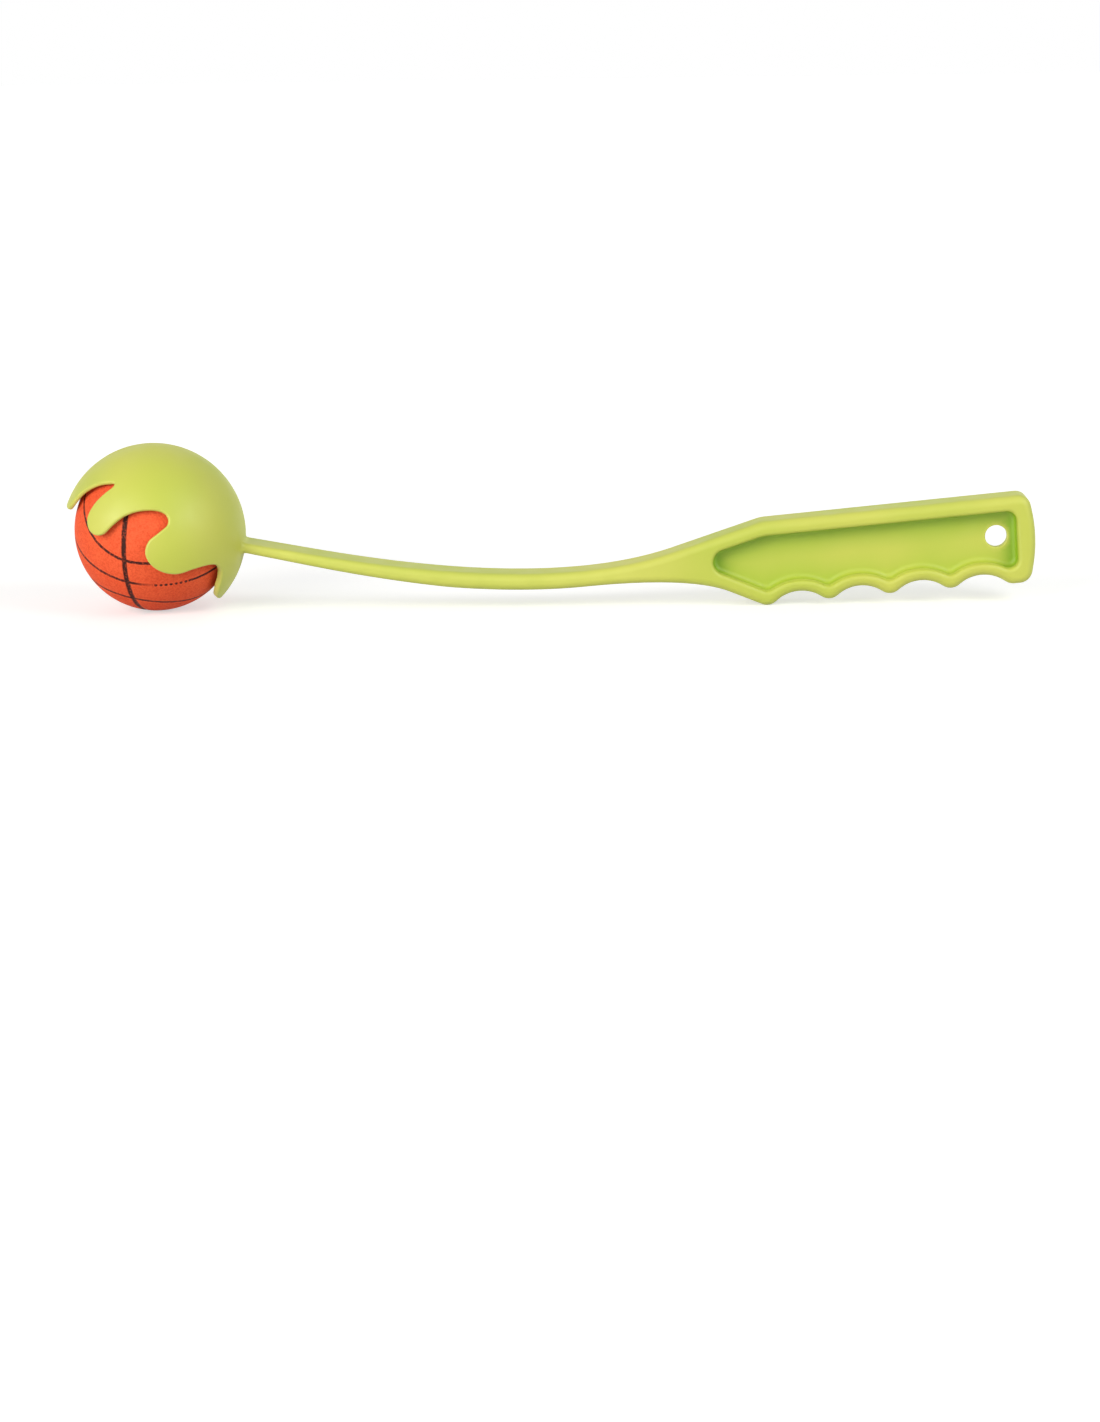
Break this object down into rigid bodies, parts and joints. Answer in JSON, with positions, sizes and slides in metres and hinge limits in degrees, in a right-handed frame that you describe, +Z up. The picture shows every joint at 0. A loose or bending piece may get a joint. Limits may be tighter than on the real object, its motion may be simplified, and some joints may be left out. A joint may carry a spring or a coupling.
{
  "type": "dog ball thrower",
  "caption": "Hand-held dog ball thrower: a fingered cup that holds a foam ball, a slender bowed arm and a grip with finger grooves and a hanging hole.",
  "frame": {"origin": "middle of the footprint, on the surface that the thrower stands on with its ball and the first crest of its grip", "axes": "+X from the cup to the end of the grip, +Z up, Y across the thrower's mid-plane"},
  "size_m": [0.3574, 0.0678, 0.062],
  "materials": {
    "moulded_plastic": "satin",
    "foam_rubber": "matte"
  },
  "bodies": {
    "ball": {"ball": "foam_rubber"},
    "thrower": {"thrower": "moulded_plastic"}
  },
  "joints": [
    {"name": "ball_release", "type": "slide", "parent": "ball", "child": "thrower", "axis": [0.5344, 0, 0.8453], "range_m": [0, 0.06]}
  ]
}
